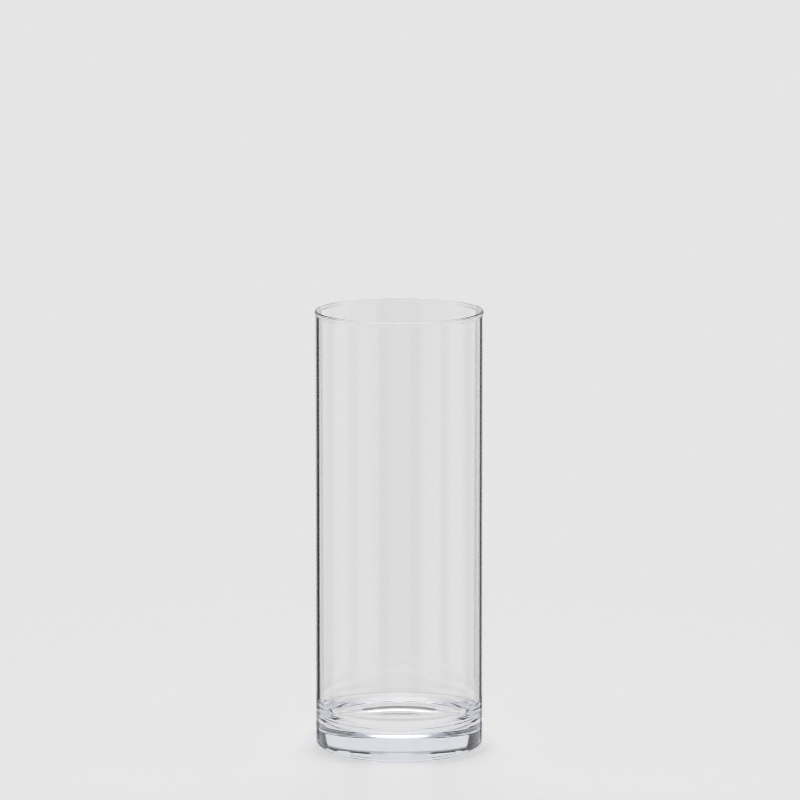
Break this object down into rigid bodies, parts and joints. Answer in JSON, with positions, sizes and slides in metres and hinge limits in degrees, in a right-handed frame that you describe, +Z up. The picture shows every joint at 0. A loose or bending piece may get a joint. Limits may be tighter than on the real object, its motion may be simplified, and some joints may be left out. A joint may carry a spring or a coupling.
{
  "type": "glass cylinder vase",
  "caption": "Clear glass cylinder vase with straight walls, a heavy base, a rounded inside corner and a fire-polished rim, for holding water and cut stems.",
  "frame": {"origin": "on the vase's axis, in the plane that its foot stands on", "axes": "+Z up along the axis, from the foot to the mouth; the vase is round, so +X and +Y are any two square directions"},
  "size_m": [0.095, 0.095, 0.25],
  "materials": {
    "clear_glass": "polished clear soda-lime glass, fire-polished rim"
  },
  "bodies": {
    "root": {"glass_vessel": "clear_glass"}
  },
  "joints": []
}
